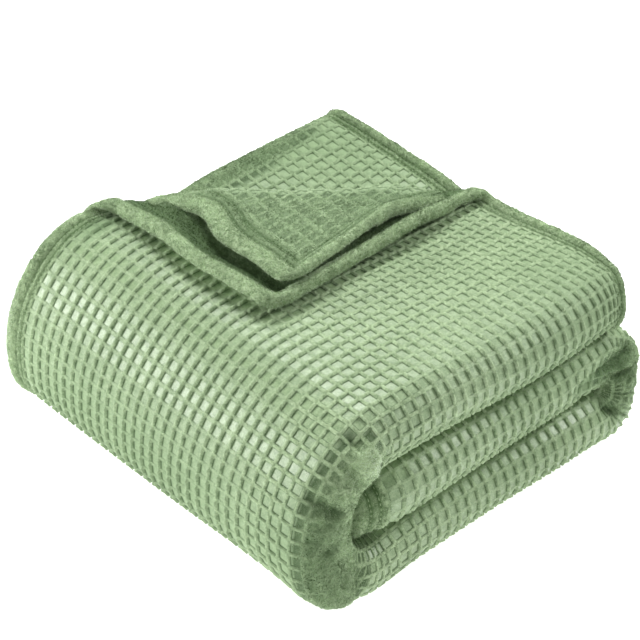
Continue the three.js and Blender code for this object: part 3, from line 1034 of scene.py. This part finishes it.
def dress(tree, geometry, material, end):
    """Gives the geometry its material and puts it out."""
    dressed = output(tree, "GeometryNodeSetMaterial", {"Geometry": geometry, "Material": material})
    tree.links.new(dressed, end.inputs[0])


def made_plain(piece, tree):
    """Runs a geometry tree on a piece and leaves the result as its mesh."""
    modifier = piece.modifiers.new(tree.name, "NODES")
    modifier.node_group = tree
    graph = bpy.context.evaluated_depsgraph_get()
    result = bpy.data.meshes.new_from_object(piece.evaluated_get(graph), depsgraph=graph)
    piece.modifiers.remove(modifier)
    old = piece.data
    piece.data = result
    bpy.data.meshes.remove(old)
    result.name = piece.name


# Relief, fibres and stitches

def ridge_profile(tree, count, size):
    """1 on a ridge, 0 on the floor of a cell, from the waffle's count."""
    nearest = sum_up(tree, "ROUND", count)
    away = sum_up(tree, "ABSOLUTE", sum_up(tree, "SUBTRACT", count, nearest))
    return ranged(tree, away, size["Shoulder"], size["Foot"], 1.0, 0.0, interpolation_type="SMOOTHSTEP")


def ridge_relief(tree, size, strength):
    """Where the ridges are, how far they are raised, and the relief's height, low where ridges cross."""
    count = named_numbers(tree, "count")
    across_ridge = ridge_profile(tree, count[0], size)
    along_ridge = ridge_profile(tree, count[1], size)
    crossing = sum_up(tree, "MULTIPLY", along_ridge, across_ridge)
    any_ridge = sum_up(tree, "MAXIMUM", along_ridge, across_ridge)
    across_ridge = sum_up(tree, "MULTIPLY", across_ridge, strength[0])
    along_ridge = sum_up(tree, "MULTIPLY", along_ridge, strength[1])
    raised = sum_up(tree, "MAXIMUM", along_ridge, across_ridge)
    lower = sum_up(tree, "MULTIPLY", sum_up(tree, "MINIMUM", strength[0], strength[1]), size["Crossing"])
    drop = sum_up(tree, "MULTIPLY", sum_up(tree, "SUBTRACT", raised, lower), crossing)
    depth = sum_up(tree, "ADD", size["Ridge"], size["Floor"])
    height = sum_up(tree, "MULTIPLY", sum_up(tree, "SUBTRACT", raised, drop), depth)
    return any_ridge, raised, sum_up(tree, "SUBTRACT", height, size["Floor"])


def pile_lumps(tree, size, waffle):
    """Small lumps of the pile, taller where the cloth is plush."""
    noise = output(tree, "ShaderNodeTexNoise", {"Scale": size["Lumps Per Metre"], "Detail": LUMP_DETAIL})
    centred = sum_up(tree, "SUBTRACT", noise, NOISE_MIDDLE)
    tall = ranged(tree, waffle, 0.0, 1.0, size["Plush Lumps"], size["Pile Lumps"])
    return sum_up(tree, "MULTIPLY", centred, tall)


def waffle_tree():
    """Raises the waffle's ridges, presses its floors, gives the pile lumps, and rests it on the floor."""
    tree, size, end = geometry_tree("waffle relief", WAFFLE_SIZES)
    strength = named_numbers(tree, "ridges")
    waffle = strength[2]
    any_ridge, raised, height = ridge_relief(tree, size, strength)
    lift = sum_up(tree, "ADD", sum_up(tree, "MULTIPLY", height, waffle), pile_lumps(tree, size, waffle))
    normal = output(tree, "GeometryNodeInputNormal")
    offset = output(tree, "ShaderNodeVectorMath", {0: normal, "Scale": lift}, operation="SCALE")
    drawn = ranged(tree, waffle, 0.0, size["Drawn Until"], 0.0, 1.0)
    fuzzy = sum_up(tree, "SUBTRACT", 1.0, drawn)
    kept = size["Geometry"]
    for name, value in (("ridge", any_ridge), ("raised", raised)):
        mixed = sum_up(tree, "ADD", sum_up(tree, "MULTIPLY", value, drawn), fuzzy)
        kept = stored(tree, kept, name, mixed, "POINT")
    moved = output(tree, "GeometryNodeSetPosition", {"Geometry": kept, "Offset": offset})
    tree.links.new(rested(tree, moved), end.inputs[0])
    return tree


def fibre_blade(tree, size):
    """One fibre: a slim triangle that stands on its base."""
    corners = {"Vertices": BLADE_CORNERS, "Radius": BLADE_RADIUS}
    blade = output(tree, "GeometryNodeMeshCircle", corners, fill_type="NGON")
    to_base = (1 - BLADE_RADIUS, 0.0, 0.0)
    rooted = output(tree, "GeometryNodeTransform", {"Geometry": blade, "Translation": to_base})
    stretch = output(tree, "ShaderNodeCombineXYZ", [size["Length"], size["Width"], 1.0])
    upright = (0.0, -math.pi / 2, 0.0)
    return output(tree, "GeometryNodeTransform", {"Geometry": rooted, "Rotation": upright, "Scale": stretch})


def fibre_tree(side, material):
    """Sets short leaning fibres on one side's faces that show, thick where the cloth is plush."""
    tree, size, end = geometry_tree(f"{side} fibres", FIBRE_SIZES)
    shows = named_value(tree, f"{side}_shows", "BOOLEAN")
    thick = sum_up(tree, "MULTIPLY", named_value(tree, "pile", "FLOAT"), size["Per Square Metre"])
    roots = place_node(
        tree, "GeometryNodeDistributePointsOnFaces",
        {"Mesh": size["Geometry"], "Selection": shows, "Density": thick, "Seed": FIBRE_SEED},
        distribute_method="RANDOM",
    ).outputs
    lean = random_value(tree, size["Least Lean"], size["Most Lean"], FIBRE_SEED + 1)
    spin = random_value(tree, 0.0, 2 * math.pi, FIBRE_SEED + 2)
    growth = random_value(tree, *FIBRE_GROWTH, FIBRE_SEED + 3)
    tone = random_value(tree, 0.0, 1.0, FIBRE_SEED + 4)
    tilt = output(tree, "ShaderNodeCombineXYZ", [lean, 0.0, spin])
    turn = output(tree, "FunctionNodeEulerToRotation", [tilt])
    stand = output(tree, "FunctionNodeRotateRotation", [roots["Rotation"], turn], rotation_space="LOCAL")
    grown = output(
        tree, "GeometryNodeInstanceOnPoints",
        {"Points": roots["Points"], "Instance": fibre_blade(tree, size), "Rotation": stand, "Scale": growth},
    )
    toned = stored(tree, grown, "tone", tone, "INSTANCE")
    real = output(tree, "GeometryNodeRealizeInstances", {"Geometry": toned})
    dress(tree, rested(tree, real), material, end)
    return tree


def stitch_tree(material):
    """Sets one small rounded stitch after another along the seams."""
    tree, size, end = geometry_tree("hem stitches", STITCH_SIZES)
    joined = output(
        tree, "GeometryNodeMergeByDistance", {"Geometry": size["Geometry"], "Distance": size["Join"]}
    )
    line = output(tree, "GeometryNodeMeshToCurve", {"Mesh": joined})
    steps = output(
        tree, "GeometryNodeResampleCurve", {"Curve": line, "Length": size["Spacing"]}, mode="LENGTH"
    )
    heading = output(tree, "GeometryNodeInputTangent")
    turn = output(tree, "FunctionNodeAlignRotationToVector", {"Vector": heading}, axis="X")
    ball = output(tree, "GeometryNodeMeshIcoSphere", STITCH_BALL)
    stretch = output(tree, "ShaderNodeCombineXYZ", [size["Length"], size["Width"], size["Width"]])
    stitch = output(tree, "GeometryNodeTransform", {"Geometry": ball, "Scale": stretch})
    sewn = output(
        tree, "GeometryNodeInstanceOnPoints", {"Points": steps, "Instance": stitch, "Rotation": turn}
    )
    real = output(tree, "GeometryNodeRealizeInstances", {"Geometry": sewn})
    dress(tree, output(tree, "GeometryNodeSetShadeSmooth", {"Geometry": real}), material, end)
    return tree


# Materials

def shared_sum(tree, share, first, second):
    """A share of one value and the rest of another."""
    return sum_up(
        tree, "ADD", sum_up(tree, "MULTIPLY", first, share), sum_up(tree, "MULTIPLY", second, 1 - share)
    )


def grain_group():
    """Pile grain from object coordinates: tone, nap, and a height for the bump."""
    tree = bpy.data.node_groups.new("pile grain", "ShaderNodeTree")
    for label, value, _ in GRAIN:
        number_input(tree, label, value)
    for label in ("Tone", "Nap", "Height"):
        tree.interface.new_socket(label, in_out="OUTPUT", socket_type="NodeSocketFloat")
    scales = tree.nodes.new("NodeGroupInput").outputs
    end = tree.nodes.new("NodeGroupOutput")
    where = tree.nodes.new("ShaderNodeTexCoord").outputs["Object"]
    fibre, tuft, nap_and_painted_shading = [
        output(
            tree, "ShaderNodeTexNoise",
            {"Vector": where, "Scale": scales[label], "Detail": GRAIN_DETAIL, "Roughness": rough},
        )
        for label, _, rough in GRAIN
    ]
    tree.links.new(shared_sum(tree, GRAIN_TONE_SHARE, fibre, tuft), end.inputs["Tone"])
    tree.links.new(nap_and_painted_shading, end.inputs["Nap"])
    tree.links.new(shared_sum(tree, GRAIN_HEIGHT_SHARE, fibre, tuft), end.inputs["Height"])
    return tree


def colour_mix(tree, factor, first, second):
    """Result of a Mix node for colours, whose inputs 6 and 7 and output 2 are the colours."""
    made = place_node(tree, "ShaderNodeMix", {0: factor, 6: first, 7: second}, data_type="RGBA")
    return made.outputs[2]


def carried(tree, name):
    """The number that the mesh carries under a name."""
    return place_node(tree, "ShaderNodeAttribute", attribute_name=name).outputs["Fac"]


def new_material(name, finish):
    """A material with its finish set on its shader. Returns it, its tree and the shader's inputs."""
    material = bpy.data.materials.new(name)
    material.use_nodes = True
    tree = material.node_tree
    sockets = tree.nodes["Principled BSDF"].inputs
    for label, value in finish.items():
        sockets[label].default_value = value
    return material, tree, sockets


def waffle_look(tree, base, height, painted_shading_and_seams, painted_shade_and_unevenness):
    """Painted shade at the feet, painted highlight on the crests, and satin floors. Returns colour, height
    for the bump and roughness.
    """
    ridge = carried(tree, "ridge")
    strong = sum_up(tree, "DIVIDE", carried(tree, "raised"), sum_up(tree, "MAXIMUM", ridge, LEAST_RIDGE))
    strong = ranged(tree, strong, *RIDGE_SHOWN)
    wall = sum_up(tree, "MULTIPLY", ranged(tree, ridge, *WALL_START), strong)
    floor = sum_up(tree, "SUBTRACT", 1.0, wall)
    # Painted shade at the feet of the ridges, a dark line round each floor
    foot_shade = sum_up(tree, "MULTIPLY", ranged(tree, ridge, *FOOT_SHADE), wall)
    # Painted highlight on the crests, weaker where shade is painted
    crest_highlight = sum_up(tree, "MULTIPLY", ranged(tree, ridge, *CREST_HIGHLIGHT), sum_up(tree, "SUBTRACT", 1.0, painted_shade_and_unevenness))
    base = colour_mix(tree, foot_shade, base, WAFFLE_FOOT_SHADE)
    base = colour_mix(tree, sum_up(tree, "MULTIPLY", crest_highlight, strong), base, WAFFLE_LIGHT)
    base = colour_mix(tree, sum_up(tree, "MULTIPLY", floor, FLOOR_TINT), base, WAFFLE_FLOOR)
    height = sum_up(tree, "MULTIPLY", height, ranged(tree, floor, *FLOOR_GRAIN))
    satin = sum_up(tree, "MULTIPLY", floor, ranged(tree, painted_shading_and_seams, *SATIN_OUTSIDE_PAINTED_SHADE))
    return base, height, ranged(tree, satin, *SATIN_ROUGHNESS)


def fleece_material(name, grain, dark, light, bump, waffled):
    """Fleece with its pile in colour and bump, darkened by painted shade, by its seams and by uneven nap.
    waffled: with the looks of the waffle too.
    """
    material, tree, sockets = new_material(name, FLEECE_FINISH)
    pile = place_node(tree, "ShaderNodeGroup", node_tree=grain).outputs
    painted_shading_and_seams = carried(tree, "nap_and_painted_shading")
    height = pile["Height"]
    colour = colour_mix(tree, ranged(tree, pile["Tone"], *TONE_SPREAD), dark, light)
    # Painted shade, with the seams and the grain's uneven nap, darkens the colour
    painted_shade_and_unevenness = sum_up(tree, "ADD", painted_shading_and_seams, ranged(tree, pile["Nap"], *UNEVEN_NAP), clamp=True)
    base = colour_mix(tree, painted_shade_and_unevenness, colour, dark)
    if waffled:
        base, height, rough = waffle_look(tree, base, height, painted_shading_and_seams, painted_shade_and_unevenness)
        tree.links.new(rough, sockets["Roughness"])
    relief = output(tree, "ShaderNodeBump", {"Strength": bump, "Distance": BUMP_DISTANCE, "Height": height})
    tree.links.new(base, sockets["Base Color"])
    tree.links.new(relief, sockets["Normal"])
    return material


def fibre_material(grain):
    """Single fibres: each has its own tone, they darken in patches, and they take painted shade and painted
    light.
    """
    material, tree, sockets = new_material("pile_fibre", FIBRE_FINISH)
    pile = place_node(tree, "ShaderNodeGroup", {"Tuft Scale": FIBRE_TUFTS}, node_tree=grain).outputs
    painted_shading_and_seams = carried(tree, "nap_and_painted_shading")
    patches = ranged(tree, pile["Tone"], *FIBRE_PATCHES)
    dark = sum_up(tree, "MULTIPLY_ADD", painted_shading_and_seams, FIBRE_PAINTED_SHADE, patches, clamp=True)
    # Painted light where the painted shading is below zero
    pale = sum_up(tree, "MULTIPLY", painted_shading_and_seams, -1.0, clamp=True)
    colour = colour_mix(tree, carried(tree, "tone"), FIBRE_DARK, FIBRE_LIGHT)
    colour = colour_mix(tree, pale, colour, FIBRE_PAINTED_HIGHLIGHT)
    tree.links.new(colour_mix(tree, dark, colour, FIBRE_SHADE), sockets["Base Color"])
    return material


def thread_material(grain):
    """Sewing thread in the cloth's colour."""
    material, tree, sockets = new_material("seam_thread", THREAD_FINISH)
    pile = place_node(tree, "ShaderNodeGroup", node_tree=grain).outputs
    tree.links.new(colour_mix(tree, pile["Tone"], THREAD_DARK, THREAD_LIGHT), sockets["Base Color"])
    return material


# The pieces

def keep_values(mesh, values, shows):
    """Keeps on the mesh what relief, fibres and materials read."""
    for name in ("count", "ridges"):
        mesh.attributes.new(name, "FLOAT_VECTOR", "POINT").data.foreach_set("vector", values[name].ravel())
    for name in ("nap_and_painted_shading", "pile"):
        mesh.attributes.new(name, "FLOAT", "POINT").data.foreach_set("value", values[name])
    for name, flags in shows.items():
        mesh.attributes.new(name, "BOOLEAN", "FACE").data.foreach_set("value", flags)


def mark_floors(mesh, kinds):
    """Keeps the edge round each cell's floor crisp, so that the floor shades as one flat patch."""
    sharp = np.zeros(len(mesh.edges), bool)
    edges = np.zeros(len(mesh.loops), int)
    mesh.loops.foreach_get("edge_index", edges)
    for polygon, kind in zip(mesh.polygons, kinds):
        if kind == "floor":
            sharp[edges[polygon.loop_start:polygon.loop_start + polygon.loop_total]] = True
    mesh.attributes.new("sharp_edge", "BOOLEAN", "EDGE").data.foreach_set("value", sharp)


def make_cloth(grain):
    """The cloth, and the stitches along its hems."""
    values, faces, kinds, shows, (seam_points, seam_edges) = cloth_mesh()
    piece = new_piece("fleece_cloth", values["points"] / PER_METRE, faces)
    mesh = piece.data
    keep_values(mesh, values, shows)
    mark_floors(mesh, kinds)
    looks = [
        ("waffle_fleece", grain, WAFFLE_DARK, WAFFLE_LIGHT, WAFFLE_BUMP, True),
        ("plush_fleece", grain, PLUSH_DARK, PLUSH_LIGHT, PLUSH_BUMP, False),
    ]
    for look in looks:
        mesh.materials.append(fleece_material(*look))
    mesh.polygons.foreach_set("material_index", [int(kind in ("hem", "back")) for kind in kinds])
    made_plain(piece, waffle_tree())
    stitches = new_piece("hem_stitches", seam_points / PER_METRE, [], seam_edges)
    made_plain(stitches, stitch_tree(thread_material(grain)))
    return piece, stitches


def make_fibres(cloth, side, material):
    """The fibres on one side of the cloth."""
    piece = bpy.data.objects.new(f"{side}_fibres", cloth.data.copy())
    bpy.context.collection.objects.link(piece)
    made_plain(piece, fibre_tree(side, material))
    return piece


# Camera and studio

def make_camera():
    """The camera where the photograph was taken from."""
    data = bpy.data.cameras.new("photo_camera")
    data.lens = CAMERA_LENS
    data.sensor_width = CAMERA_SENSOR
    camera = bpy.data.objects.new("photo_camera", data)
    bpy.context.collection.objects.link(camera)
    back = direction(CAMERA_AZIMUTH, CAMERA_ELEVATION)
    turn = math.radians(CAMERA_AZIMUTH)
    right = Vector((math.cos(turn), math.sin(turn), 0.0))
    axes = Matrix((right, back.cross(right), back)).transposed()
    camera.matrix_world = Matrix.Translation(CAMERA_EYE) @ axes.to_4x4()
    bpy.context.scene.camera = camera


def make_lamp(name, place, size, power):
    """A round soft lamp that points at the cloth."""
    data = bpy.data.lights.new(name, "AREA")
    data.shape = "DISK"
    data.size = size
    data.energy = power
    lamp = bpy.data.objects.new(name, data)
    lamp.location = place
    lamp.rotation_euler = (Vector(LAMP_TARGET) - Vector(place)).to_track_quat("-Z", "Y").to_euler()
    bpy.context.collection.objects.link(lamp)


def make_studio():
    """White sky, four soft lamps and a pale floor."""
    world = bpy.data.worlds.new("studio")
    world.use_nodes = True
    background = world.node_tree.nodes["Background"]
    background.inputs["Color"].default_value = WHITE
    background.inputs["Strength"].default_value = SKY_STRENGTH
    bpy.context.scene.world = world
    for lamp in LAMPS:
        make_lamp(*lamp)
    corners = FLOOR_REACH * np.array([(-1, -1, 0), (1, -1, 0), (1, 1, 0), (-1, 1, 0)], float)
    floor = new_piece("floor", corners, [(0, 1, 2, 3)])
    floor.data.materials.append(new_material("pale_floor", FLOOR_FINISH)[0])
    bpy.context.scene.view_settings.view_transform = "Standard"


make_camera()
make_studio()
pile_grain = grain_group()
cloth, stitches = make_cloth(pile_grain)
fibre_look = fibre_material(pile_grain)
fibres = [make_fibres(cloth, side, fibre_look) for side in ("face", "back")]
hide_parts("blanket")
for piece in [cloth, stitches] + fibres:
    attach(piece, "root")
